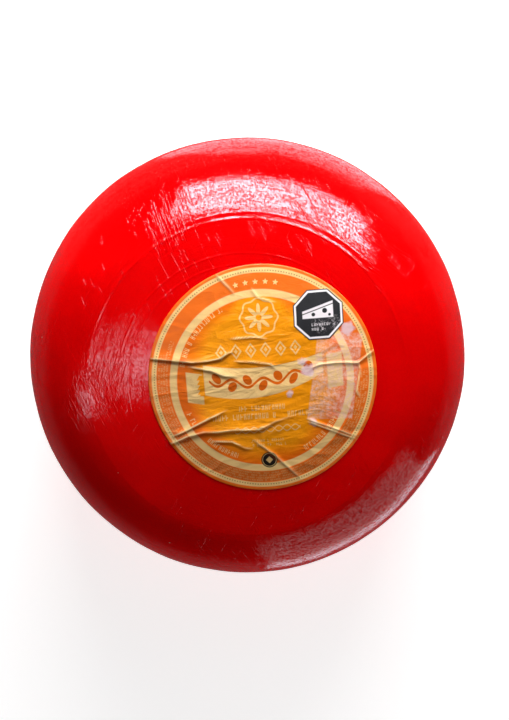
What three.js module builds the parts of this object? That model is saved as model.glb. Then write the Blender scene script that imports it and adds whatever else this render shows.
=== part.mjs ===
// A wheel of semi-hard cheese in a red wax coat, with a round paper label on its upper face and a small
// octagonal sticker on the label. The wheel lies on the flat of its lower face.
// Millimetres, +Z up. The origin is the centre of the flat that the wheel rests on, +Y is the top of the label.
import * as THREE from 'three';
import { mergeVertices } from 'three/addons/utils/BufferGeometryUtils.js';

// The wheel: a bulging wall, round shoulders, and faces that the press left slightly domed.
const WHEEL_RADIUS = 120;
const OUT_OF_ROUND = 1.016; // the wheel's width along Y over its width along X
const WALL_HEIGHT = 33;
const WALL_LEAN = THREE.MathUtils.degToRad(15); // how far the bulging wall leans in at its two edges
const FACE_RADIUS = 83; // where the shoulder meets the domed face, at the mark of the mould's lid
const SHOULDER_END = THREE.MathUtils.degToRad(15); // the shoulder's slope where it meets the face
const FACE_EDGE_SLOPE = THREE.MathUtils.degToRad(12); // the domed face's own slope at that ring
const FOOT_DEPTH = 3.7; // from the lower lid mark down to the flat that the weight has pressed

// The paper label and the sticker, thickened so that each is a sound solid, with air below them.
const LABEL_RADIUS = 59;
const LABEL_OFFSET = new THREE.Vector2(8.2, 2.3); // stuck on by hand, a little off the wheel's centre
const STICKER_RADIUS = 13.8; // to a corner of the octagon
const STICKER_CENTRE = new THREE.Vector2(28.2, 34.2); // from the label's centre
const STICKER_TURN = THREE.MathUtils.degToRad(22.5 + 3.4);
const LABEL_SPREAD = 1.016; // the same for the label
const PAPER_THICKNESS = 0.3;
const AIR_GAP = 0.3;

// How finely the round shapes are faceted.
const ROUND_STEPS = 96;
const FACE_STEPS = 8;
const SHOULDER_STEPS = 7;
const WALL_STEPS = 4;
const LABEL_STEPS = 72;
const LABEL_RINGS = 7;
const STICKER_RINGS = 3;

// Worked out from the dimensions above: the arcs of the wheel's section.
const bulgeRadius = WALL_HEIGHT / 2 / Math.sin(WALL_LEAN);
const wallEdgeRadius = WHEEL_RADIUS - bulgeRadius * (1 - Math.cos(WALL_LEAN));
const shoulderTop = SHOULDER_END;
const shoulderBottom = Math.PI / 2 - WALL_LEAN;
const shoulderRadius = (wallEdgeRadius - FACE_RADIUS) / (Math.sin(shoulderBottom) - Math.sin(shoulderTop));
const shoulderHeight = shoulderRadius * (Math.cos(shoulderTop) - Math.cos(shoulderBottom));
const domeRadius = FACE_RADIUS / Math.sin(FACE_EDGE_SLOPE);
const domeHeight = domeRadius * (1 - Math.cos(FACE_EDGE_SLOPE));
const faceEdgeAbove = WALL_HEIGHT / 2 + shoulderHeight; // of the lid mark over the middle of the wall
const middle = FOOT_DEPTH + faceEdgeAbove;
const crown = middle + faceEdgeAbove + domeHeight;
const footSlope = Math.acos(Math.cos(FACE_EDGE_SLOPE) + FOOT_DEPTH / domeRadius);

// Points on an arc of the section, at the angles that its outward normal makes with straight up.
function arc(centre, radius, fromAngle, toAngle, steps) {
  return Array.from({ length: steps + 1 }, (_, i) => {
    const angle = THREE.MathUtils.lerp(fromAngle, toAngle, i / steps);
    return new THREE.Vector2(centre.x + radius * Math.sin(angle), centre.y + radius * Math.cos(angle));
  });
}

// The section from the axis along the foot, up the side and over the crown, back to the axis.
function wheelSection() {
  const shoulderX = FACE_RADIUS - shoulderRadius * Math.sin(shoulderTop);
  const shoulderRise = faceEdgeAbove - shoulderRadius * Math.cos(shoulderTop);
  const lowerDome = new THREE.Vector2(0, 2 * middle - crown + domeRadius);
  const lowerShoulder = new THREE.Vector2(shoulderX, middle - shoulderRise);
  const wall = new THREE.Vector2(WHEEL_RADIUS - bulgeRadius, middle);
  const upperShoulder = new THREE.Vector2(shoulderX, middle + shoulderRise);
  const upperDome = new THREE.Vector2(0, crown - domeRadius);
  return [
    new THREE.Vector2(0, 0),
    ...arc(lowerDome, domeRadius, Math.PI - footSlope, Math.PI - FACE_EDGE_SLOPE, 2),
    ...arc(lowerShoulder, shoulderRadius, Math.PI - shoulderTop, Math.PI - shoulderBottom, SHOULDER_STEPS).slice(1),
    ...arc(wall, bulgeRadius, Math.PI - shoulderBottom, shoulderBottom, WALL_STEPS).slice(1),
    ...arc(upperShoulder, shoulderRadius, shoulderBottom, shoulderTop, SHOULDER_STEPS).slice(1),
    ...arc(upperDome, domeRadius, FACE_EDGE_SLOPE, 0, FACE_STEPS).slice(1),
  ];
}

// A lathe turned from three.js's +Y axis to +Z and spread along Y, with its shared vertices merged.
function turned(section, steps, spread = 1) {
  const lathe = new THREE.LatheGeometry(section, steps);
  lathe.rotateX(Math.PI / 2);
  lathe.scale(1, spread, 1);
  lathe.deleteAttribute('normal');
  lathe.deleteAttribute('uv');
  const merged = mergeVertices(lathe, 1e-4);
  merged.computeVertexNormals();
  return merged;
}

// The height of the wheel's domed face at a point.
function faceHeight(x, y) {
  return crown - domeRadius + Math.sqrt(domeRadius ** 2 - x ** 2 - (y / OUT_OF_ROUND) ** 2);
}

// A disc of paper laid over the dome, its underside at a given height above the wax, spread along Y.
function laidPaper({ radius, steps, rings, turn, spread, x, y, lift }) {
  const across = Array.from({ length: rings }, (_, i) => (radius * (i + 1)) / rings);
  const section = [
    new THREE.Vector2(0, 0),
    ...across.map((r) => new THREE.Vector2(r, 0)),
    ...across.toReversed().map((r) => new THREE.Vector2(r, PAPER_THICKNESS)),
    new THREE.Vector2(0, PAPER_THICKNESS),
  ];
  const disc = turned(section, steps, spread);
  disc.rotateZ(turn);
  disc.translate(x, y, 0);
  const position = disc.getAttribute('position');
  for (let i = 0; i < position.count; i += 1) {
    const height = faceHeight(position.getX(i), position.getY(i));
    position.setZ(i, position.getZ(i) + height + lift);
  }
  disc.computeVertexNormals();
  return disc;
}

function named(name, geometry, material) {
  const mesh = new THREE.Mesh(geometry, material);
  mesh.name = name;
  return mesh;
}

const redWax = new THREE.MeshStandardMaterial({ color: 0xc4060a, roughness: 0.3, metalness: 0 });
const orangePaper = new THREE.MeshStandardMaterial({ color: 0xee8a22, roughness: 0.45, metalness: 0 });
const blackSticker = new THREE.MeshStandardMaterial({ color: 0x1c1a1c, roughness: 0.5, metalness: 0 });

const cheese = new THREE.Group();
cheese.add(named('waxed_cheese_wheel', turned(wheelSection(), ROUND_STEPS, OUT_OF_ROUND), redWax));
cheese.add(
  named(
    'paper_label',
    laidPaper({
      radius: LABEL_RADIUS,
      steps: LABEL_STEPS,
      rings: LABEL_RINGS,
      turn: 0,
      spread: LABEL_SPREAD,
      x: LABEL_OFFSET.x,
      y: LABEL_OFFSET.y,
      lift: AIR_GAP,
    }),
    orangePaper,
  ),
);
cheese.add(
  named(
    'octagonal_sticker',
    laidPaper({
      radius: STICKER_RADIUS,
      steps: 8,
      rings: STICKER_RINGS,
      turn: STICKER_TURN,
      spread: 1,
      x: LABEL_OFFSET.x + STICKER_CENTRE.x,
      y: LABEL_OFFSET.y + STICKER_CENTRE.y,
      lift: PAPER_THICKNESS + 2 * AIR_GAP,
    }),
    blackSticker,
  ),
);

export default cheese;
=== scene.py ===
"""A low round wheel of cheese in red wax, with a creased paper label and an octagonal sticker on top.

Metres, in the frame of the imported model: +Z up, +Y towards the top of the label, the origin on the surface
that the wheel rests on.
"""

import math
from functools import partial

import bpy
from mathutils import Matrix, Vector


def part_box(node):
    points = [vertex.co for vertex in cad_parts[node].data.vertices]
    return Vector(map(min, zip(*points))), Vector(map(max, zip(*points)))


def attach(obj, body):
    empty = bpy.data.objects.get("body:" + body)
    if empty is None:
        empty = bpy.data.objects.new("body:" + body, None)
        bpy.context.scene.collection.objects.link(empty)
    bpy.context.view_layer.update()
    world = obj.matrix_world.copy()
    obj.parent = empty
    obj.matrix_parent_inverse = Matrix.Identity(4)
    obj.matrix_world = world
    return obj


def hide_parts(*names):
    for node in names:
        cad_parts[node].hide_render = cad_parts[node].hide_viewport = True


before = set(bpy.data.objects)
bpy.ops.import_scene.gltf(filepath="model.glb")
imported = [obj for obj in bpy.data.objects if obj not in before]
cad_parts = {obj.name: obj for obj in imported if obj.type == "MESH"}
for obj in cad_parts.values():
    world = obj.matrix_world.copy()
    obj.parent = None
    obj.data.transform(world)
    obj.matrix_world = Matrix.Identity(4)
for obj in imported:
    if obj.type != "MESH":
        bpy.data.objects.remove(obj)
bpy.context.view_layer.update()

MM = 0.001

# What the frame gives: the wheel's radius and height, and where the label and the sticker lie.
WHEEL_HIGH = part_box("waxed_cheese_wheel")[1]
LABEL_LOW, LABEL_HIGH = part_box("paper_label")
STICKER_LOW, STICKER_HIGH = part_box("octagonal_sticker")
WHEEL_RADIUS = WHEEL_HIGH.x
SPREAD = WHEEL_HIGH.y / WHEEL_HIGH.x
CROWN = WHEEL_HIGH.z
LABEL_CENTRE = (LABEL_LOW + LABEL_HIGH) / 2
LABEL_RADIUS = (LABEL_HIGH.x - LABEL_LOW.x) / 2
LABEL_SPREAD = (LABEL_HIGH.y - LABEL_LOW.y) / (LABEL_HIGH.x - LABEL_LOW.x)
STICKER_CENTRE = (STICKER_LOW + STICKER_HIGH) / 2
STICKER_TURN = math.radians(3.4)  # stuck on turned a little to the left
HALF_SIDE = math.radians(22.5)  # the angle that half a side of an octagon takes up at its centre
STICKER_RADIUS = (STICKER_HIGH.x - STICKER_LOW.x) / 2 / math.cos(HALF_SIDE - STICKER_TURN)

# The wheel's section, as the mould and the lid leave it.
WALL_HEIGHT = 33 * MM
WALL_LEAN = math.radians(15)
LID_RADIUS = 83 * MM
SHOULDER_END = math.radians(15)
FACE_EDGE_SLOPE = math.radians(12)
SECTION_STEP = 1.7 * MM
TURN_STEPS = 300

# The two sheets: how thick they are, and the air under them.
PAPER_THICKNESS = 0.14 * MM
PAPER_LIFT = 0.3 * MM
FILM_THICKNESS = 0.12 * MM
FILM_LIFT = 0.2 * MM
SHEET_START = CROWN + 10 * MM  # the height from which a flat sheet is let down

# The print, in label radii from the label's centre.
PRINT_TURN = math.radians(4.2)  # the label was put on turned a little to the left
RING_CENTRE = (-0.008, -0.015, 0)
ROSETTE_CENTRE = (0.004, 0.55, 0)
SEAL_CENTRE = (0.0065, -0.717, 0)
ROW_PITCH = 0.023  # of the rows of small print round the orange band
STAR_FAR = 0.853
STAR_STEP = 5.8  # degrees
LOZENGE_PITCH = 0.129
VINE_PITCH = 0.134  # from leaf to leaf

CAMERA_TILT = math.radians(13)
CAMERA_DISTANCE = 0.75
CAMERA_AIM = Vector((3.9 * MM, 0, CROWN / 2))
CAMERA_LENS = 67.56
FLOOR_SIZE = 6.0
BACKDROP_RADIUS = 2.9


# ---------------------------------------------------------------- small helpers


def linear(hex_colour):
    """An sRGB hex colour as the linear RGBA that the shaders take."""
    parts = [int(hex_colour[i : i + 2], 16) / 255 for i in (0, 2, 4)]
    return [c / 12.92 if c <= 0.04045 else ((c + 0.055) / 1.055) ** 2.4 for c in parts] + [1.0]


def add(tree, kind, *inputs, named=None, **settings):
    """Adds a node, sets its properties and fills its inputs in order, each by a value, a node or a socket."""
    node = tree.nodes.new("ShaderNode" + kind)
    for key, value in settings.items():
        setattr(node, key, value)
    for key, value in [*enumerate(inputs), *(named or {}).items()]:
        if value is None:
            continue
        if isinstance(value, bpy.types.Node):
            value = value.outputs[0]
        if isinstance(value, bpy.types.NodeSocket):
            tree.links.new(value, node.inputs[key])
        else:
            node.inputs[key].default_value = value
    return node


def new_material(name):
    """An empty node material, and its tree."""
    material = bpy.data.materials.new(name)
    material.use_nodes = True
    material.node_tree.nodes.clear()
    return material, material.node_tree


def only(piece):
    """Makes a piece the one selected and active object."""
    bpy.ops.object.select_all(action="DESELECT")
    piece.select_set(True)
    bpy.context.view_layer.objects.active = piece


def start(name):
    """Names the primitive that was just added and opens it for editing."""
    piece = bpy.context.object
    piece.name = piece.data.name = name
    only(piece)
    bpy.ops.object.mode_set(mode="EDIT")
    return piece


def modify(piece, kind, **settings):
    """Puts a modifier on a piece and applies it."""
    only(piece)
    modifier = piece.modifiers.new(kind.title(), kind)
    for key, value in settings.items():
        setattr(modifier, key, value)
    bpy.ops.object.modifier_apply(modifier=modifier.name)


def weigh(piece, name, weight):
    """Makes a vertex group whose weight at each point is a function of the point's place."""
    group = piece.vertex_groups.new(name=name)
    for vertex in piece.data.vertices:
        amount = weight(vertex.co)
        if amount > 0.001:
            group.add([vertex.index], min(amount, 1.0), "REPLACE")


def lumps(name, size):
    """A soft cloud texture for the Displace modifier, with lumps of a real size."""
    texture = bpy.data.textures.new(name, "CLOUDS")
    texture.noise_scale = size
    texture.noise_depth = 2
    return texture


# ---------------------------------------------------------------- the wheel


def arc(centre, radius, from_angle, to_angle):
    """Points along an arc of the section, at the angles that its outward normal makes with straight up."""
    steps = max(1, math.ceil(radius * abs(to_angle - from_angle) / SECTION_STEP))
    angles = [from_angle + (to_angle - from_angle) * i / steps for i in range(steps + 1)]
    return [(centre[0] + radius * math.sin(a), centre[1] + radius * math.cos(a)) for a in angles]


def wheel_section():
    """The upper half of the section from the middle of the wall to the crown, as (radius, height) pairs."""
    bulge = WALL_HEIGHT / 2 / math.sin(WALL_LEAN)
    wall_edge = WHEEL_RADIUS - bulge * (1 - math.cos(WALL_LEAN))
    shoulder_low = math.pi / 2 - WALL_LEAN
    shoulder = (wall_edge - LID_RADIUS) / (math.sin(shoulder_low) - math.sin(SHOULDER_END))
    rise = shoulder * (math.cos(SHOULDER_END) - math.cos(shoulder_low))
    dome = LID_RADIUS / math.sin(FACE_EDGE_SLOPE)
    dome_height = dome * (1 - math.cos(FACE_EDGE_SLOPE))
    middle = CROWN - dome_height - rise - WALL_HEIGHT / 2
    shoulder_centre = (
        LID_RADIUS - shoulder * math.sin(SHOULDER_END),
        CROWN - dome_height - shoulder * math.cos(SHOULDER_END),
    )
    upper = arc((WHEEL_RADIUS - bulge, middle), bulge, math.pi / 2, shoulder_low)
    upper += arc(shoulder_centre, shoulder, shoulder_low, SHOULDER_END)[1:]
    upper += arc((0, CROWN - dome), dome, FACE_EDGE_SLOPE, 0)[1:]
    return middle, upper


def add_wheel():
    """The waxed cheese: its section is drawn with extrusions, spun round, spread, and made lumpy."""
    middle, upper = wheel_section()
    lower = [(radius, max(2 * middle - height, 0.0)) for radius, height in reversed(upper)]
    foot = [point for point in lower if point[1] > 0][0]
    flat = [(0.0, 0.0), (foot[0] * 0.5, 0.0), (foot[0] - 2 * MM, 0.0)]
    lower = flat + [point for point in lower if point[1] > 0]
    section = lower[:-1] + upper
    bpy.ops.mesh.primitive_plane_add(size=1 * MM)
    wheel = start("cheese_wheel")
    bpy.ops.mesh.merge(type="CENTER")
    for (r0, z0), (r1, z1) in zip(section, section[1:]):
        bpy.ops.mesh.extrude_region_move(TRANSFORM_OT_translate={"value": (r1 - r0, 0, z1 - z0)})
    bpy.ops.mesh.select_all(action="SELECT")
    bpy.ops.mesh.spin(steps=TURN_STEPS, angle=math.tau, center=(0, 0, 0), axis=(0, 0, 1))
    bpy.ops.mesh.select_all(action="SELECT")
    bpy.ops.mesh.remove_doubles(threshold=0.02 * MM)
    bpy.ops.transform.resize(value=(1, SPREAD, 1), center_override=(0, 0, 0))
    bpy.ops.mesh.normals_make_consistent(inside=False)
    bpy.ops.object.mode_set(mode="OBJECT")
    weigh(wheel, "free_wax", lambda co: min(max(co.z / (14 * MM), 0), 1) ** 2)
    for name, size, height in (("slumped wax", 70 * MM, 1.3 * MM), ("brushed wax", 16 * MM, 0.3 * MM)):
        modify(wheel, "DISPLACE", texture=lumps(name, size), texture_coords="LOCAL", strength=height,
               mid_level=0.5, vertex_group="free_wax")
    bpy.ops.object.shade_smooth()
    return wheel


# ---------------------------------------------------------------- the label

# Creases of the label, in label radii from its centre: (height in mm, steep width in mm, gentle width in mm,
# points). The steep side is to the right of the way the points run.
CREASES = (
    (1.1, 0.5, 2.6, ((-1.0, 0.185), (-0.80, 0.172), (-0.62, 0.158), (-0.49, 0.172), (-0.38, 0.193),
                     (-0.30, 0.243), (-0.23, 0.268))),
    (0.7, 0.6, 2.2, ((-0.64, 0.116), (-0.45, 0.088), (-0.35, 0.046), (-0.2, 0.03))),
    (0.6, 0.6, 1.8, ((-0.24, 0.172), (-0.08, 0.163), (0.066, 0.144), (0.13, 0.095))),
    (1.0, 0.7, 2.4, ((-0.83, -0.60), (-0.66, -0.515), (-0.52, -0.473), (-0.41, -0.473), (-0.26, -0.452),
                     (-0.03, -0.445), (0.11, -0.373), (0.34, -0.295))),
    (0.9, 0.6, 2.0, ((-0.79, -0.52), (-0.62, -0.431), (-0.467, -0.346), (-0.30, -0.265))),
    (0.6, 0.6, 1.6, ((-0.44, -0.561), (-0.27, -0.561), (-0.16, -0.619), (-0.08, -0.627))),
    (0.6, 0.4, 0.7, ((-0.08, -0.54), (0.108, -0.683), (0.221, -0.794), (0.36, -0.93))),
    (0.55, 0.4, 0.7, ((0.39, -0.35), (0.598, -0.431), (0.86, -0.535))),
    (0.5, 0.4, 0.7, ((0.40, -0.375), (0.598, -0.458), (0.85, -0.56))),
    (0.7, 0.45, 0.9, ((0.985, 0.27), (0.83, 0.151), (0.669, 0.158), (0.487, 0.144), (0.38, 0.095))),
    (0.5, 0.4, 0.7, ((0.83, 0.151), (0.851, 0.088), (0.822, -0.109), (0.862, -0.18))),
    (0.5, 0.4, 0.6, ((-0.40, 0.92), (-0.298, 0.816), (-0.235, 0.75))),
    (0.4, 0.4, 0.8, ((-0.10, 0.80), (-0.046, 0.726), (0.12, 0.68))),
    (0.45, 0.5, 1.4, ((-0.27, 0.368), (-0.074, 0.383), (0.04, 0.366))),
)
CREASE_TOP = 1.2 * MM
SHARP_CREASES = range(6, 12)  # the thin ones, whose print has cracked off right on the line
# The pale line along a crease's crest: painted highlight, and cracked print on the thin creases.
CREST_WIDTH = 0.34 * MM
# The darkening of each crease's fold is painted shade on its steep side.
FOLD_OFF = 1.1 * MM  # from the line of a crease to the darkest of its fold
FOLD_WIDTH = 0.8 * MM


def nearest_on(points, x, y, reach):
    """The distance to a line of points, which side of it a place is on, and how far along, or None if far."""
    xs, ys = [p[0] for p in points], [p[1] for p in points]
    if not (min(xs) - reach < x < max(xs) + reach and min(ys) - reach < y < max(ys) + reach):
        return None
    best = None
    for i, ((ax, ay), (bx, by)) in enumerate(zip(points, points[1:])):
        dx, dy = bx - ax, by - ay
        along = min(max(((x - ax) * dx + (y - ay) * dy) / (dx * dx + dy * dy), 0.0), 1.0)
        off_x, off_y = x - ax - along * dx, y - ay - along * dy
        far = math.hypot(off_x, off_y)
        if best is None or far < best[0]:
            best = (far, off_x * dy - off_y * dx, (i + along) / (len(points) - 1))
    return best


def label_place(place):
    """A point's place on the label, in label radii from its centre."""
    return (place.x - LABEL_CENTRE.x) / LABEL_RADIUS, (place.y - LABEL_CENTRE.y) / LABEL_RADIUS


def crease_height(place):
    """How high the creases lift the paper at a point of the flat label, as a share of CREASE_TOP."""
    total = 0.0
    x, y = label_place(place)
    for height, steep, gentle, points in CREASES:
        near = nearest_on(points, x, y, 3 * gentle * MM / LABEL_RADIUS)
        if near:
            far, side, along = near
            width = (steep if side > 0 else gentle) * MM / LABEL_RADIUS
            ends = min(1.0, along / 0.12 + 0.15, (1 - along) / 0.25)
            total += height * MM * ends * math.exp(-((far / width) ** 1.5))
    return min(total / CREASE_TOP, 1.0)


def crease_marks(place):
    """How pale the crest of the creases is, as cracked print on the thin creases and as painted highlight on
    the others, and how dark the painted shade in their folds is.
    """
    x, y = label_place(place)
    worn_and_lit = fold_shade = 0.0
    for number, (height, _, _, points) in enumerate(CREASES):
        near = nearest_on(points, x, y, 4 * MM / LABEL_RADIUS)
        if near:
            far, side, along = near
            off = (far if side > 0 else -far) * LABEL_RADIUS
            ends = min(1.0, along / 0.12 + 0.3, (1 - along) / 0.25)
            # On the thin creases the pale line is print cracked off right on the line; on the others it is a
            # painted highlight, set 0.4 mm to the crest's gentle side.
            crest = 0.0 if number in SHARP_CREASES else -0.4 * MM
            worn_and_lit = max(worn_and_lit, math.exp(-(((off - crest) / CREST_WIDTH) ** 2)) * ends)
            fold_shade = max(fold_shade, math.exp(-(((off - FOLD_OFF) / FOLD_WIDTH) ** 2)) * ends * height)
    return worn_and_lit, min(fold_shade, 1.0)


def add_label(wheel):
    """The paper label: a fine square grid drawn out to a disc, laid on the wax and creased."""
    bpy.ops.mesh.primitive_grid_add(x_subdivisions=200, y_subdivisions=200, size=2 * LABEL_RADIUS,
                                    location=(0, 0, 0))
    label = start("paper_label_sheet")
    bpy.ops.object.mode_set(mode="OBJECT")
    # Each point is drawn in towards the centre by the share that makes its square a circle.
    weigh(label, "corners", lambda co: 1 - max(abs(co.x), abs(co.y)) / max(math.hypot(co.x, co.y), MM))
    modify(label, "CAST", cast_type="CYLINDER", use_z=False, factor=1.0, use_radius_as_size=False,
           size=0.001 * MM, vertex_group="corners")
    only(label)
    bpy.ops.object.mode_set(mode="EDIT")
    bpy.ops.mesh.select_all(action="SELECT")
    bpy.ops.transform.resize(value=(1, LABEL_SPREAD, 1), center_override=(0, 0, 0))
    bpy.ops.transform.translate(value=(LABEL_CENTRE.x, LABEL_CENTRE.y, SHEET_START))
    bpy.ops.object.mode_set(mode="OBJECT")
    weigh(label, "creases", crease_height)
    modify(label, "SHRINKWRAP", target=wheel, wrap_method="PROJECT", use_project_z=True,
           use_negative_direction=True, use_positive_direction=False, offset=PAPER_LIFT)
    modify(label, "DISPLACE", direction="Z", strength=CREASE_TOP, mid_level=0.0, vertex_group="creases")
    modify(label, "SOLIDIFY", thickness=PAPER_THICKNESS, offset=-1)
    bpy.ops.object.shade_smooth()
    # Two point attributes: a pale line along each crease, partly cracked print and partly painted highlight,
    # and painted shade in each fold.
    for name in ("crease_wear_and_highlight", "crease_shade"):
        label.data.attributes.new(name, "FLOAT", "POINT")
    wear_and_highlight, shade = label.data.attributes["crease_wear_and_highlight"], label.data.attributes["crease_shade"]
    for index, vertex in enumerate(label.data.vertices):
        wear_and_highlight.data[index].value, shade.data[index].value = crease_marks(vertex.co)
    return label


# ---------------------------------------------------------------- the sticker


def add_sticker(label):
    """The octagonal sticker: a fan of eight triangles, finely divided and laid over the label."""
    bpy.ops.mesh.primitive_circle_add(vertices=8, radius=STICKER_RADIUS, fill_type="TRIFAN",
                                      location=(0, 0, 0))
    sticker = start("octagon_sticker_film")
    bpy.ops.mesh.select_all(action="SELECT")
    bpy.ops.mesh.subdivide(number_cuts=24)
    turn = HALF_SIDE + STICKER_TURN
    bpy.ops.transform.rotate(value=-turn, orient_axis="Z", center_override=(0, 0, 0))
    bpy.ops.transform.translate(value=(STICKER_CENTRE.x, STICKER_CENTRE.y, SHEET_START))
    bpy.ops.object.mode_set(mode="OBJECT")
    modify(sticker, "SHRINKWRAP", target=label, wrap_method="PROJECT", use_project_z=True,
           use_negative_direction=True, use_positive_direction=False, offset=FILM_LIFT)
    modify(sticker, "SOLIDIFY", thickness=FILM_THICKNESS, offset=-1)
    bpy.ops.object.shade_smooth_by_angle(angle=math.radians(40))
    return sticker


# ---------------------------------------------------------------- masks and inks


def within(node, value, low, high, soft):
    """1 where a value lies between two limits, either of which may be None, with a soft step past each."""
    if low is None:
        return node("MapRange", value, high - soft, high + soft, 1.0, 0.0)
    if high is None:
        return node("MapRange", value, low - soft, low + soft, 0.0, 1.0)
    middle, half = (low + high) / 2, (high - low) / 2
    off = node("Math", node("Math", value, middle, operation="SUBTRACT"), operation="ABSOLUTE")
    return node("MapRange", off, half - soft, half + soft, 1.0, 0.0)


def both(node, *masks):
    """Where all the masks are 1."""
    total = masks[0]
    for mask in masks[1:]:
        total = node("Math", total, mask, operation="MULTIPLY")
    return total


def either(node, *masks):
    """Where any of the masks is 1."""
    total = masks[0]
    for mask in masks[1:]:
        total = node("Math", total, mask, operation="MAXIMUM")
    return total


def overprint(node, base, *layers):
    """Lays inks over a base, one after another: each is where it goes, its colour, and how well it covers."""
    for mask, colour, cover in layers:
        share = node("Math", mask, cover, operation="MULTIPLY")
        base = node("Mix", share, data_type="RGBA", named={6: base, 7: colour}).outputs[2]
    return base


def blot(node, place, x, y, radius):
    """A ragged round blot at a point of the label, in label radii."""
    far = node("VectorMath", place, (x, y, 0), operation="DISTANCE").outputs["Value"]
    rough = node("TexNoise", place, named={"Scale": 18.0, "Detail": 3.0})
    edge = node("Math", rough, 0.08, -0.04, operation="MULTIPLY_ADD")
    return within(node, node("Math", far, edge, operation="ADD"), None, radius, 0.012)


def fine_print(node, along, across, pitch, height, seed):
    """A line of small signs made of stems and bars drawn at random, in groups. They spell nothing."""
    count = node("Math", along, pitch, operation="DIVIDE")
    place = node("Math", count, operation="FRACT")
    cell = node("Math", node("Math", count, operation="FLOOR"), seed, operation="ADD")
    dice = node("TexWhiteNoise", None, cell, noise_dimensions="1D").outputs["Color"]
    luck = node("SeparateColor", dice).outputs
    rise = node("Math", across, height, operation="DIVIDE")
    third = node("Math", node("Math", luck["Green"], 3.0, operation="MULTIPLY"), operation="FLOOR")
    bar_rise = node("Math", third, -0.8, node("Math", rise, 0.8, operation="ADD"), operation="MULTIPLY_ADD")
    bar = both(node, within(node, bar_rise, -0.22, 0.22, 0.1), within(node, place, 0.14, 0.74, 0.06))
    stem = within(node, place, 0.12, 0.32, 0.06)
    second = both(node, within(node, place, 0.56, 0.76, 0.06),
                  node("Math", luck["Red"], 0.45, operation="GREATER_THAN"))
    return both(node, either(node, stem, second, bar), within(node, rise, -1.0, 1.0, 0.12),
                node("Math", luck["Blue"], 0.14, operation="GREATER_THAN"))


# ---------------------------------------------------------------- materials


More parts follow.
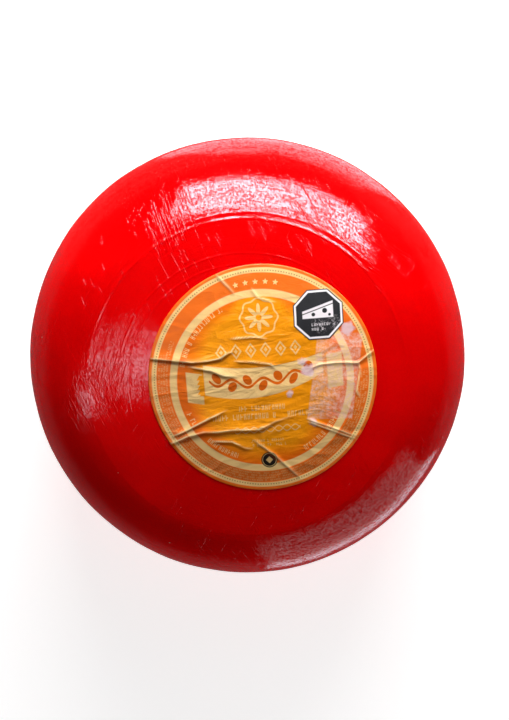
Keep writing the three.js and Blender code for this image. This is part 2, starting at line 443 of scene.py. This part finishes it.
def printed_ink(node, place):
    """The colour of the label's print: rings, stars, a rosette, a banner and rows of marks."""
    orange, deep, amber = linear("F4701C"), linear("F46C06"), linear("FA9804")
    cream, brown = linear("F8CC86"), linear("7A4216")
    art = node("Mapping", place, (LABEL_CENTRE.x, LABEL_CENTRE.y, 0), (0, 0, PRINT_TURN),
               (LABEL_RADIUS, LABEL_RADIUS * LABEL_SPREAD, 1000), vector_type="TEXTURE")
    axes = node("SeparateXYZ", art)
    p, q = axes.outputs["X"], axes.outputs["Y"]
    far = node("VectorMath", art, operation="LENGTH").outputs["Value"]
    angle = node("Math", q, p, operation="ARCTAN2")
    degrees = node("Math", angle, math.degrees(1), operation="MULTIPLY")
    ring_far = node("VectorMath", art, RING_CENTRE, operation="DISTANCE").outputs["Value"]

    # The amber middle, with a bulge at its top, fades into the darker orange inside the thick ring.
    mottle = node("TexNoise", art, named={"Scale": 3.0, "Detail": 2.0})
    wide = node("VectorMath", art, (1.0, 0.94, 1), operation="MULTIPLY")
    fade = node("Math", node("VectorMath", wide, operation="LENGTH").outputs["Value"],
                node("Math", mottle, 0.16, -0.08, operation="MULTIPLY_ADD"), operation="ADD")
    colour = overprint(node, deep, (within(node, fade, None, 0.62, 0.07), amber, 1.0))
    bulge_far = node("VectorMath", art, (0, 0.52, 0), operation="DISTANCE").outputs["Value"]
    colour = overprint(node, colour, (within(node, bulge_far, None, 0.245, 0.03), amber, 1.0))
    colour = overprint(node, colour, (within(node, ring_far, 0.742, 0.9, 0.004), cream, 1.0))
    colour = overprint(node, colour, (within(node, ring_far, 0.805, None, 0.004), orange, 1.0))
    colour = overprint(node, colour, (within(node, far, 0.929, 0.971, 0.003), cream, 1.0))
    beads = node("Math", node("Math", angle, 256.0, operation="MULTIPLY"), operation="SINE")
    bead_line = both(node, within(node, far, 0.942, 0.952, 0.003), within(node, beads, 0.0, 1.2, 0.4))
    colour = overprint(node, colour, (bead_line, brown, 0.75))

    # Small print in rows round the orange band, and on arcs inside the thick ring.
    turn = node("Math", node("Math", degrees, 360.0, operation="ADD"), 360.0, operation="MODULO")
    row = node("Math", far, 1 / ROW_PITCH, operation="MULTIPLY")
    row_middle = node("Math", node("Math", row, operation="FRACT"), 0.5, operation="SUBTRACT")
    row_number = node("Math", row, operation="FLOOR")
    shifted = node("Math", row_number, 7.3, degrees, operation="MULTIPLY_ADD")
    band = both(node, fine_print(node, shifted, row_middle, 0.95, 0.36, 5.0),
                within(node, far, 0.83, 0.92, 0.004))
    span = either(node, within(node, turn, 163, 345, 2), both(node, within(node, turn, 153, 165, 1),
                  within(node, far, None, 0.872, 0.002)), both(node, within(node, degrees, -20, 1, 1)))
    colour = overprint(node, colour, (both(node, band, span), cream, 0.62))
    # The lower part of the orange band is overlaid with brown: painted shade on its side away from the lamps.
    shade = within(node, turn, 222, 335, 14)
    colour = overprint(node, colour, (both(node, shade, within(node, far, 0.825, 0.922, 0.004)), brown, 0.38))
    arc_middle = node("Math", far, 0.712, operation="SUBTRACT")
    arcs = either(node, within(node, turn, 116, 167, 0.3), within(node, turn, 200, 209, 0.3),
                  within(node, turn, 219, 248, 0.3), within(node, turn, 297, 334, 0.3))
    curved = both(node, fine_print(node, degrees, arc_middle, 2.35, 0.023, 11.0), arcs)
    colour = overprint(node, colour, (curved, cream, 0.8))

    # Five small stars at the top of the band.
    step = node("Math", node("Math", degrees, 90.3, operation="SUBTRACT"), STAR_STEP, operation="DIVIDE")
    nearest = node("Math", step, operation="ROUND")
    star_x = node("Math", node("Math", step, nearest, operation="SUBTRACT"),
                  math.radians(STAR_STEP) * STAR_FAR, operation="MULTIPLY")
    star_y = node("Math", far, STAR_FAR, operation="SUBTRACT")
    star_far = node("Math", node("Math", star_x, star_x, operation="MULTIPLY"),
                    node("Math", star_y, star_y, operation="MULTIPLY"), operation="ADD")
    star_far = node("Math", star_far, 0.5, operation="POWER")
    bearing = node("Math", node("Math", star_x, star_y, operation="ARCTAN2"), 5 / math.tau,
                   operation="MULTIPLY")
    nearest_point = node("Math", bearing, operation="ROUND")
    point = node("Math", node("Math", bearing, nearest_point, operation="SUBTRACT"), operation="ABSOLUTE")
    star_edge = node("MapRange", point, 0.0, 0.5, 0.024, 0.0095)
    star = within(node, node("Math", star_far, star_edge, operation="SUBTRACT"), None, 0.0, 0.003)
    star = both(node, star, within(node, step, -2.5, 2.5, 0.01))
    colour = overprint(node, colour, (star, cream, 1.0))

    # A plain rosette of eight petals inside a scalloped line.
    petal_axes = node("SeparateXYZ", node("VectorMath", art, ROSETTE_CENTRE, operation="SUBTRACT"))
    petal_turn = node("Math", petal_axes.outputs["X"], petal_axes.outputs["Y"], operation="ARCTAN2")
    eight = node("Math", node("Math", petal_turn, 8.0, operation="MULTIPLY"), operation="COSINE")
    rosette_far = node("VectorMath", art, ROSETTE_CENTRE, operation="DISTANCE").outputs["Value"]
    petal_far = node("Math", eight, -0.038, rosette_far, operation="MULTIPLY_ADD")
    petals = both(node, within(node, petal_far, None, 0.082, 0.004),
                  within(node, rosette_far, 0.026, None, 0.003))
    scallop_far = node("Math", eight, -0.009, rosette_far, operation="MULTIPLY_ADD")
    scallops = within(node, scallop_far, 0.150, 0.163, 0.003)
    colour = overprint(node, colour, (either(node, scallops, petals), cream, 0.85))

    # A row of six lozenges, where the largest line of print stands.
    lozenge = node("Math", node("Math", p, 0.021, operation="ADD"), LOZENGE_PITCH, operation="DIVIDE")
    lozenge_x = node("Math", node("Math", lozenge, operation="FRACT"), 0.5, operation="SUBTRACT")
    lozenge_y = node("Math", node("Math", q, 0.272, operation="SUBTRACT"), LOZENGE_PITCH, operation="DIVIDE")
    reach = node("Math", node("Math", lozenge_x, operation="ABSOLUTE"), 1.35,
                 node("Math", lozenge_y, operation="ABSOLUTE"), operation="MULTIPLY_ADD")
    outline, heart = within(node, reach, 0.36, 0.52, 0.03), within(node, reach, None, 0.16, 0.03)
    lozenges = both(node, either(node, outline, heart), within(node, lozenge, -3, 3, 0.01))
    colour = overprint(node, colour, (lozenges, cream, 0.85))

    # The cream banner with its two tails, and an orange vine along it.
    top = node("Math", node("Math", p, 0.25, 0.03, operation="MULTIPLY_ADD"), p, 0.122,
               operation="MULTIPLY_ADD")
    foot = node("Math", node("Math", p, 0.40, 0.115, operation="MULTIPLY_ADD"), p, -0.138,
                operation="MULTIPLY_ADD")
    banner = both(node, within(node, node("Math", q, top, operation="SUBTRACT"), None, 0.0, 0.004),
                  within(node, node("Math", foot, q, operation="SUBTRACT"), None, 0.0, 0.004),
                  within(node, p, -0.510, 0.53, 0.004))
    tail_q = node("Math", node("Math", p, 0.61, operation="ADD"), 0.19, q, operation="MULTIPLY_ADD")
    tail = both(node, within(node, tail_q, -0.16, 0.108, 0.004), within(node, p, -0.666, -0.524, 0.005))
    teeth = node("Math", node("Math", q, 1 / 0.042, operation="MULTIPLY"), operation="FRACT")
    tooth_p = node("Math", teeth, -0.026, p, operation="MULTIPLY_ADD")
    torn = both(node, within(node, tooth_p, -0.576, -0.5, 0.003), within(node, q, -0.1, 0.085, 0.004))
    tail = both(node, tail, node("Math", 1.0, torn, operation="SUBTRACT"))
    right_q = node("Math", p, -0.1, q, operation="MULTIPLY_ADD")
    right_tail = both(node, within(node, right_q, -0.17, 0.13, 0.005), within(node, p, 0.565, 0.7, 0.005))
    colour = overprint(node, colour, (either(node, banner, tail, right_tail), cream, 1.0))
    vine_step = node("Math", p, VINE_PITCH, operation="DIVIDE")
    vine_cell = node("Math", vine_step, operation="ROUND")
    vine_x = node("Math", node("Math", vine_step, vine_cell, operation="SUBTRACT"), VINE_PITCH,
                  operation="MULTIPLY")
    flip = node("Math", node("Math", node("Math", vine_cell, 0.5, operation="MULTIPLY"), operation="FRACT"),
                -4.0, 1.0, operation="MULTIPLY_ADD")
    rise = node("Math", node("Math", top, foot, operation="ADD"), -0.5, q, operation="MULTIPLY_ADD")
    wave = node("Math", node("Math", vine_step, math.pi, operation="MULTIPLY"), operation="COSINE")
    vine = node("Math", rise, node("Math", wave, 0.035, operation="MULTIPLY"), operation="SUBTRACT")
    vine_line = within(node, vine, -0.013, 0.013, 0.003)
    leaf_rise = node("Math", node("Math", rise, flip, operation="MULTIPLY"), 0.03, operation="ADD")
    lean = node("Math", vine_x, 0.7, leaf_rise, operation="MULTIPLY_ADD")
    slant = node("Math", leaf_rise, -0.7, vine_x, operation="MULTIPLY_ADD")
    leaf_along = node("Math", lean, 0.060, operation="DIVIDE")
    leaf_across = node("Math", slant, 0.042, operation="DIVIDE")
    leaf_far = node("Math", node("Math", leaf_along, 2.0, operation="POWER"),
                    node("Math", leaf_across, 2.0, operation="POWER"), operation="ADD")
    vine_all = both(node, either(node, vine_line, within(node, leaf_far, None, 1.0, 0.12)),
                    within(node, p, -0.468, 0.468, 0.003))
    colour = overprint(node, colour, (vine_all, linear("DA6006"), 1.0))

    # Straight rows of small print under the banner, and a round black mark at the foot.
    for row_p, row_q, half, pitch, height, seed in (
        (-0.008, -0.236, 0.22, 0.030, 0.023, 3.0),
        (-0.002, -0.308, 0.46, 0.032, 0.025, 8.0),
        (0.017, -0.535, 0.16, 0.019, 0.013, 34.0),
        (0.017, -0.575, 0.15, 0.019, 0.013, 55.0),
    ):
        across = node("Math", q, row_q, operation="SUBTRACT")
        marks = both(node, fine_print(node, p, across, pitch, height, seed),
                     within(node, p, row_p - half, row_p + half, 0.003))
        colour = overprint(node, colour, (marks, cream, 0.72))
    swirl = node("Math", node("Math", p, math.tau / 0.145, operation="MULTIPLY"), operation="SINE")
    lift = node("Math", q, 0.432, operation="ADD")
    strands = [node("Math", swirl, height, lift, operation="MULTIPLY_ADD") for height in (-0.026, 0.026)]
    twist = either(node, *(within(node, strand, -0.005, 0.005, 0.003) for strand in strands))
    colour = overprint(node, colour, (both(node, twist, within(node, p, -0.28, 0.3, 0.003)), cream, 0.72))
    seal_far = node("VectorMath", art, SEAL_CENTRE, operation="DISTANCE").outputs["Value"]
    colour = overprint(node, colour, (within(node, seal_far, None, 0.072, 0.003), linear("1B1614"), 1.0))
    gem_axes = node("VectorMath", node("VectorMath", art, SEAL_CENTRE, operation="SUBTRACT"),
                    operation="ABSOLUTE")
    gem = node("VectorMath", gem_axes, (1.0, 1.0, 0), operation="DOT_PRODUCT").outputs["Value"]
    mark = either(node, within(node, seal_far, 0.058, 0.063, 0.002), within(node, gem, None, 0.032, 0.003))
    return overprint(node, colour, (mark, cream, 0.75))


def label_paper():
    """Wood-pulp paper, satin over its print: a soft shine, and pale matt fibre where it is rubbed."""
    material, tree = new_material("satin_coated_label_paper")
    node = partial(add, tree)
    place = node("TexCoord").outputs["Object"]
    colour = printed_ink(node, place)
    flat = node("Mapping", place, (LABEL_CENTRE.x, LABEL_CENTRE.y, 0), (0, 0, 0),
                (LABEL_RADIUS, LABEL_RADIUS, 1000), vector_type="TEXTURE")
    axes = node("SeparateXYZ", flat)
    u, v = axes.outputs["X"], axes.outputs["Y"]

    # A strip where clear tape was pulled off has lost its gloss and taken some of the print with it.
    right_edge = node("Math", v, -0.11, u, operation="MULTIPLY_ADD")
    strip = both(node, within(node, right_edge, 0.43, 0.825, 0.006), within(node, v, -0.352, 0.41, 0.006))
    fibre = node("TexNoise", flat, named={"Scale": 34.0, "Detail": 5.0, "Roughness": 0.7})
    patchy = node("TexNoise", flat, named={"Scale": 7.0, "Detail": 3.0})
    bare = both(node, strip, node("MapRange", fibre, 0.42, 0.62, 0.2, 0.9),
                node("MapRange", patchy, 0.35, 0.6, 0.5, 1.0))
    spots = either(node, *(blot(node, flat, *spot) for spot in (
        (0.735, 0.45, 0.055), (0.39, 0.09, 0.055), (0.345, 0.16, 0.03), (0.235, -0.11, 0.026),
        (0.445, -0.385, 0.034))))
    # Along the creases: a pale line that is painted highlight, with cracked print on the thin creases, and
    # painted shade in the folds.
    wear_and_highlight = node("Attribute", attribute_name="crease_wear_and_highlight").outputs["Fac"]
    shade = node("Attribute", attribute_name="crease_shade").outputs["Fac"]
    uneven = node("MapRange", patchy, 0.35, 0.55, 0.3, 1.0)
    colour = overprint(node, colour, (bare, linear("F2C2B2"), 1.0), (spots, linear("E6C6CB"), 0.85),
                       (shade, linear("B4480A"), 0.5), (both(node, wear_and_highlight, uneven), linear("FFE8AE"), 0.95))

    # Crumples of paper that was wet, strongest in the middle, and the fine tooth of its fibres.
    stretched = node("Mapping", flat, (0, 0, 0), (0, 0, 0.15), (0.5, 0.22, 1), vector_type="TEXTURE")
    crumples = node("TexNoise", stretched,
                    named={"Scale": 1.6, "Detail": 6.0, "Roughness": 0.6, "Distortion": 0.7})
    label_far = node("VectorMath", flat, operation="LENGTH").outputs["Value"]
    middle = node("MapRange", label_far, 0.5, 0.8, 1.0, 0.35)
    grain = node("TexNoise", flat, named={"Scale": 160.0, "Detail": 3.0})
    bends = node("TexNoise", stretched, named={"Scale": 0.9, "Detail": 2.0, "Distortion": 0.8})
    folds = node("Math", node("Math", bends, 0.5, operation="SUBTRACT"), operation="ABSOLUTE")
    tooth = node("Math", grain, 0.03, operation="MULTIPLY")
    relief = node("Math", crumples, middle, tooth, operation="MULTIPLY_ADD")
    relief = node("Math", folds, -1.1, relief, operation="MULTIPLY_ADD")
    bump = node("Bump", named={"Height": relief, "Distance": 2.2 * MM, "Strength": 0.6})
    rough = node("MapRange", either(node, bare, spots), 0.0, 1.0, 0.28, 0.75)
    shader = node("BsdfPrincipled", named={"Base Color": colour, "Roughness": rough, "Normal": bump,
                                           "Specular IOR Level": 0.12})
    node("OutputMaterial", shader)
    return material


def sticker_film():
    """Thin black-printed film with a white line round it: satin, with pale scrapes where it was rubbed."""
    material, tree = new_material("black_printed_film")
    node = partial(add, tree)
    apothem = STICKER_RADIUS * math.cos(HALF_SIDE)
    flat = node("Mapping", node("TexCoord").outputs["Object"], (STICKER_CENTRE.x, STICKER_CENTRE.y, 0),
                (0, 0, STICKER_TURN), (apothem, apothem, 1000), vector_type="TEXTURE")
    axes = node("SeparateXYZ", node("VectorMath", flat, operation="ABSOLUTE"))
    slanted = node("VectorMath", node("VectorMath", flat, operation="ABSOLUTE"), (0.7071, 0.7071, 0),
                   operation="DOT_PRODUCT").outputs["Value"]
    rim = either(node, axes.outputs["X"], axes.outputs["Y"], slanted)
    line = within(node, rim, 0.885, 0.962, 0.012)
    colour = overprint(node, linear("1C1A1C"), (line, linear("F4EDF0"), 1.0))

    # A wedge of cheese with three holes, and two rows of small print under it.
    spots = node("SeparateXYZ", flat)
    x, y = spots.outputs["X"], spots.outputs["Y"]
    slope = node("Math", x, -0.3, y, operation="MULTIPLY_ADD")
    wedge = both(node, within(node, x, -0.64, 0.6, 0.015), within(node, slope, None, 0.34, 0.015),
                 within(node, y, -0.14, None, 0.015))
    holes = []
    for hole_x, hole_y, size in ((0.26, 0.14, 0.1), (-0.2, 0.01, 0.075), (0.45, -0.03, 0.055)):
        off = node("VectorMath", flat, (hole_x, hole_y, 0), operation="DISTANCE").outputs["Value"]
        holes.append(within(node, off, None, size, 0.012))
    seam = within(node, slope, 0.2, 0.24, 0.012)
    solid = node("Math", 1.0, either(node, *holes, seam), operation="SUBTRACT")
    colour = overprint(node, colour, (both(node, wedge, solid), linear("EFE7EA"), 1.0))
    for row, half, seed in ((-0.4, 0.42, 2.0), (-0.58, 0.3, 9.0)):
        marks = both(node, fine_print(node, x, node("Math", y, row, operation="SUBTRACT"), 0.1, 0.055, seed),
                     within(node, x, -half, half, 0.01))
        colour = overprint(node, colour, (marks, linear("EFE7EA"), 0.8))
    fleck = node("TexNoise", flat, named={"Scale": 9.0, "Detail": 6.0, "Roughness": 0.75})
    flecks = node("MapRange", fleck, 0.5, 0.62, 0.0, 1.0)
    scrapes = []
    for scrape_x, scrape_y, size in ((-0.08, -0.3, 0.14), (0.08, -0.5, 0.2), (0.62, -0.35, 0.22)):
        off = node("VectorMath", flat, (scrape_x, scrape_y, 0), operation="DISTANCE").outputs["Value"]
        scrapes.append(within(node, off, None, size, size * 0.6))
    rubbed = both(node, either(node, *scrapes), flecks)
    colour = overprint(node, colour, (rubbed, linear("CFC4C8"), 0.8))
    haze = node("TexNoise", flat, named={"Scale": 3.0, "Detail": 3.0})
    rough = node("MapRange", haze, 0.3, 0.7, 0.34, 0.5)
    bump = node("Bump", named={"Height": haze, "Distance": 0.2 * MM, "Strength": 0.4})
    shader = node("BsdfPrincipled", named={"Base Color": colour, "Roughness": rough, "Normal": bump,
                                           "Specular IOR Level": 0.25})
    node("OutputMaterial", shader)
    return material


def red_wax():
    """Paraffin cheese wax, dipped and rubbed: deep red under a glossy skin broken by fine scratches."""
    material, tree = new_material("red_paraffin_cheese_wax")
    node = partial(add, tree)
    place = node("TexCoord").outputs["Object"]
    axes = node("SeparateXYZ", place)
    level = node("VectorMath", place, (1, 1 / SPREAD, 0), operation="MULTIPLY")
    far = node("VectorMath", level, operation="LENGTH").outputs["Value"]
    angle = node("Math", axes.outputs["Y"], axes.outputs["X"], operation="ARCTAN2")

    # Straight scratches, in a few scuffed places and thinly all over: where each lot is and how far it
    # reaches in mm, how it is turned, how long and wide its scratches are in mm, and how sparse they are.
    scratches = []
    for x, y, reach, turn, length, width, sparse in (
        (-38, 84, 24, 0.36, 20, 0.8, 0.52),
        (34, 86, 22, 0.55, 24, 0.7, 0.56),
        (72, 66, 26, 0.95, 16, 0.7, 0.54),
        (-80, -8, 26, 0.45, 18, 0.6, 0.49),
        (-74, 2, 22, -0.3, 12, 0.5, 0.5),
        (-38, 66, 16, 0.5, 26, 0.6, 0.64),
        (0, 0, 400, 0.5, 20, 0.6, 0.68),
        (0, 0, 400, -0.5, 14, 0.6, 0.69),
    ):
        lined = node("Mapping", place, (x * MM, 0, 0), (0, 0, turn), (width * MM, length * MM, 9 * MM),
                     vector_type="TEXTURE")
        lines = node("TexNoise", lined, named={"Scale": 1.0, "Detail": 1.0, "Roughness": 0.5})
        away = node("VectorMath", level, (x * MM, y * MM, 0), operation="DISTANCE").outputs["Value"]
        limit = node("MapRange", away, reach * 0.4 * MM, reach * MM, sparse, 0.8)
        over = node("Math", lines, limit, operation="SUBTRACT")
        scratches.append(node("MapRange", over, 0.0, 0.1, 0.0, 1.0))
    scratched = either(node, *scratches)

    # Strokes of the cloth that run round the wheel, and the rings left by the lid of the mould.
    round_place = node("CombineXYZ", node("Math", far, 1 / (0.7 * MM), operation="MULTIPLY"),
                       node("Math", angle, 4.0, operation="MULTIPLY"),
                       node("Math", axes.outputs["Z"], 1 / (1.1 * MM), operation="MULTIPLY"))
    strokes = node("TexNoise", round_place, named={"Scale": 1.0, "Detail": 2.5, "Roughness": 0.6})
    broken = node("TexNoise", place, named={"Scale": 30.0, "Detail": 4.0, "Roughness": 0.6})
    pressed = node("Math", node("MapRange", broken, 0.35, 0.6, 0.4, 1.0),
                   node("MapRange", axes.outputs["Y"], -0.02, 0.05, 0.12, 1.0), operation="MULTIPLY")
    rings = 0.0
    for radius, width, height in (
        (LID_RADIUS + 0.4 * MM, 1.4 * MM, 2.0), (LID_RADIUS + 3.6 * MM, 1.2 * MM, 0.6),
        (66.7 * MM, 0.9 * MM, 1.1), (61.2 * MM, 0.9 * MM, 1.0),
    ):
        off = node("Math", node("Math", far, radius, operation="SUBTRACT"), operation="ABSOLUTE")
        ring = node("MapRange", off, 0.0, width, height, 0.0, interpolation_type="SMOOTHSTEP")
        rings = node("Math", ring, pressed, rings, operation="MULTIPLY_ADD")

    # The rubbed skin's grain is finer than this on real wax; it is drawn 1.1 mm coarse so that it shows.
    grain = node("TexNoise", place, named={"Scale": 1 / (1.1 * MM), "Detail": 2.0, "Roughness": 0.6})
    dabs = node("TexNoise", place, named={"Scale": 60.0, "Detail": 5.0, "Roughness": 0.5})
    relief = node("Math", scratched, -0.6, rings, operation="MULTIPLY_ADD")
    relief = node("Math", strokes, 0.6, relief, operation="MULTIPLY_ADD")
    relief = node("Math", grain, 0.3, relief, operation="MULTIPLY_ADD")
    relief = node("Math", dabs, 0.7, relief, operation="MULTIPLY_ADD")
    bump = node("Bump", named={"Height": relief, "Distance": 0.16 * MM, "Strength": 0.8})

    # The skin is glossy, less so where it is scuffed; a few grains of pale dust have stuck to it.
    scuffs = node("Math", node("Math", grain, 0.7, operation="MULTIPLY"),
                  node("Math", strokes, 0.3, operation="MULTIPLY"), operation="ADD")
    gloss = node("Math", node("MapRange", scuffs, 0.45, 0.535, 0.12, 1.05),
                 node("MapRange", scratched, 0.0, 1.0, 1.0, 0.2), operation="MULTIPLY")
    cloudy = node("TexNoise", place, named={"Scale": 14.0, "Detail": 3.0})
    clear = node("MapRange", cloudy, 0.35, 0.65, 0.0, 1.0)
    dust = node("TexVoronoi", place, named={"Scale": 75.0})
    dice = node("SeparateXYZ", dust.outputs["Color"]).outputs["X"]
    lucky = node("Math", dice, 0.8, operation="GREATER_THAN")
    specks = both(node, within(node, dust.outputs["Distance"], None, 0.03, 0.012), lucky)
    tone = overprint(node, linear("DE0002"), (clear, linear("EE0204"), 1.0), (specks, linear("E8A79A"), 0.8))
    shader = node("BsdfPrincipled", named={"Base Color": tone, "Roughness": 0.3, "Normal": bump,
                                           "Specular IOR Level": 0.0,
                                           "Subsurface Weight": 0.12, "Subsurface Radius": (1.0, 0.08, 0.05),
                                           "Subsurface Scale": 2.0 * MM,
                                           "Coat Weight": gloss, "Coat Roughness": 0.06, "Coat IOR": 1.5,
                                           "Coat Normal": bump})
    node("OutputMaterial", shader)
    return material


# ---------------------------------------------------------------- floor, light and camera


def add_surroundings():
    """A pale floor that the wheel rests on, inside a pale round backdrop."""
    for name, surface, shine in (
        ("pale_floor", "matte_white_board", 0.7),
        ("pale_backdrop", "white_paper_backdrop", 0.8),
    ):
        if name == "pale_floor":
            bpy.ops.mesh.primitive_plane_add(size=FLOOR_SIZE, location=(0, 0, -0.1 * MM))
        else:
            bpy.ops.mesh.primitive_uv_sphere_add(segments=64, ring_count=32, radius=BACKDROP_RADIUS,
                                                 location=(0, 0, 0))
        piece = bpy.context.object
        piece.name = name
        material, tree = new_material(surface)
        shader = add(tree, "BsdfPrincipled", named={"Base Color": linear("F2F0EE"), "Roughness": 0.9,
                     "Emission Color": linear("FFFFFF"), "Emission Strength": shine})
        add(tree, "OutputMaterial", shader)
        piece.data.materials.append(material)
        piece.visible_glossy = False
        piece.visible_diffuse = name == "pale_floor"


def softbox(name, place, width, height, power, diffuse=True, glossy=True):
    """A rectangular studio light turned to the wheel. It may give only shading or only reflections."""
    light = bpy.data.lights.new(name, "AREA")
    light.shape = "RECTANGLE"
    light.size, light.size_y = width, height
    light.energy = power
    light.color = linear("FFFFFF" if diffuse else "EDF3FF")[:3]
    lamp = bpy.data.objects.new(name, light)
    bpy.context.scene.collection.objects.link(lamp)
    lamp.location = place
    lamp.visible_camera = False
    lamp.visible_diffuse, lamp.visible_glossy = diffuse, glossy
    lamp.rotation_euler = (Vector((0, 0, 0.09)) - Vector(place)).to_track_quat("-Z", "Y").to_euler()


def add_studio():
    """Two lamps that shade the wheel, and cards and a window that its wax reflects, in a faint low glow."""
    world = bpy.data.worlds.new("studio")
    bpy.context.scene.world = world
    world.use_nodes = True
    tree = world.node_tree
    tree.nodes.clear()
    node = partial(add, tree)
    up = node("SeparateXYZ", node("TexCoord").outputs["Generated"]).outputs["Z"]
    glow = node("MapRange", up, -0.35, -0.12, 0.14, 0.01)
    node("OutputWorld", node("Background", linear("FFFFFF"), glow))
    softbox("low_key", (0.05, 0.50, 0.28), 0.5, 0.24, 6.3, glossy=False)
    softbox("overhead_fill", (0, -0.1, 1.2), 1.2, 1.2, 1.9, glossy=False)
    softbox("window", (0.13, 0.67, 0.54), 1.1, 0.56, 50, diffuse=False)
    softbox("left_card", (-0.47, -0.20, 0.77), 0.13, 0.60, 1.4, diffuse=False)
    softbox("low_right_card", (0.44, -0.80, 0.12), 0.8, 0.9, 2.3)
    softbox("low_right_glint", (0.38, -0.67, -0.32), 0.7, 0.2, 1.3, diffuse=False)
    softbox("back_card", (0.09, 0.38, -0.32), 0.5, 0.44, 1.3, diffuse=False)


def add_camera():
    """Looks almost straight down on the wheel, tipped a little towards its +Y side."""
    data = bpy.data.cameras.new("camera")
    data.lens = CAMERA_LENS
    data.sensor_width = 36
    camera = bpy.data.objects.new("camera", data)
    bpy.context.scene.collection.objects.link(camera)
    back = Vector((0, math.sin(CAMERA_TILT), math.cos(CAMERA_TILT)))
    camera.location = CAMERA_AIM + CAMERA_DISTANCE * back
    camera.rotation_euler = (-CAMERA_TILT, 0, 0)
    bpy.context.scene.camera = camera


# ---------------------------------------------------------------- the scene

bpy.context.scene.view_settings.view_transform = "Standard"
bpy.ops.object.select_all(action="DESELECT")
add_camera()
wheel_piece = add_wheel()
label_piece = add_label(wheel_piece)
sticker_piece = add_sticker(label_piece)
for piece, node, slot, material in (
    (wheel_piece, "waxed_cheese_wheel", "red_wax", red_wax()),
    (label_piece, "paper_label", "label_paper", label_paper()),
    (sticker_piece, "octagonal_sticker", "sticker_film", sticker_film()),
):
    piece.data.materials.clear()
    piece.data.materials.append(material)
    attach(piece, "root")
    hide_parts(node)
add_surroundings()
add_studio()
